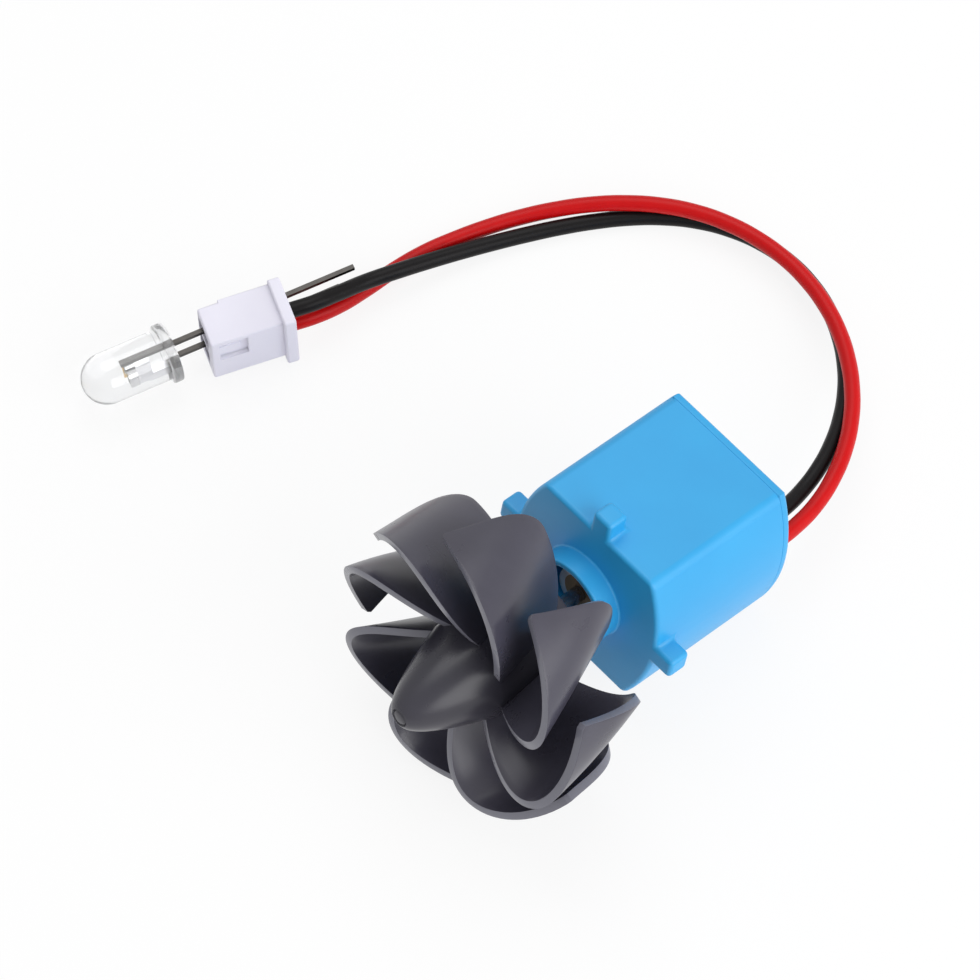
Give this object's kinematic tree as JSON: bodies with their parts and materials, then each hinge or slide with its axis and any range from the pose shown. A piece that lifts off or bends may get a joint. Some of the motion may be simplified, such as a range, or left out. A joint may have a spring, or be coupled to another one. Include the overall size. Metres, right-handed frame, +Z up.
{
  "type": "wind turbine generator",
  "caption": "Small demonstration wind generator: a scooped impeller on a cased direct-current motor, wired to a plug-in clear lamp.",
  "frame": {"origin": "on the table, under the middle of the motor and impeller's box", "axes": "+Z up from the table, -Y towards the nose of the impeller, +X to the right seen from the nose"},
  "size_m": [0.0669, 0.0649, 0.0295],
  "materials": {
    "case_blue": "semi-gloss moulded plastic",
    "motor_steel": "plated sheet",
    "magnet": "ferrite",
    "bush_bronze": "sintered bronze",
    "bell_plastic": "moulded",
    "leaf_brass": "sprung sheet",
    "carbon": "carbon block",
    "tinned_tab": "tinned",
    "solder": "bright",
    "red_insulation": "smooth insulation",
    "black_insulation": "smooth insulation",
    "connector_white": "nylon",
    "tinned_contact": "tinned",
    "impeller_grey": "semi-gloss moulded plastic",
    "shaft_steel": "ground",
    "core_steel": "laminated",
    "copper_wire": "enamelled copper",
    "hub_resin": "moulded",
    "copper_segment": "copper",
    "spacer_nylon": "nylon",
    "clear_lens": "clear cast resin",
    "lead_steel": "plated",
    "reflector_silver": "plated",
    "die": "chip",
    "bond_gold": "fine wire"
  },
  "bodies": {
    "housing": {"case_body": "case_blue", "rear_cover": "case_blue", "motor_can": "motor_steel", "field_magnets": "magnet", "front_bush": "bush_bronze", "end_bell": "bell_plastic", "rear_bush": "bush_bronze", "brush_leaves": "leaf_brass", "carbon_brushes": "carbon", "motor_terminals": "tinned_tab", "solder_joints": "solder", "red_wire": "red_insulation", "black_wire": "black_insulation", "connector_housing": "connector_white", "crimp_contacts": "tinned_contact"},
    "rotor": {"impeller": "impeller_grey", "motor_shaft": "shaft_steel", "armature_core": "core_steel", "armature_windings": "copper_wire", "commutator_hub": "hub_resin", "commutator_segments": "copper_segment", "front_spacer": "spacer_nylon", "rear_washer": "spacer_nylon"},
    "lamp": {"led_lens": "clear_lens", "led_anode_lead": "lead_steel", "led_cathode_lead": "lead_steel", "led_reflector": "reflector_silver", "led_die": "die", "led_bond_wire": "bond_gold"}
  },
  "joints": [
    {"name": "shaft_spin", "type": "hinge", "parent": "housing", "child": "rotor", "pos_m": [0, 0.00205, 0.01192], "axis": [0, -0.9798, 0.1999], "continuous": true},
    {"name": "lamp_pull", "type": "slide", "parent": "housing", "child": "lamp", "axis": [-0.284, -0.9588, 0], "range_m": [0, 0.016]}
  ]
}
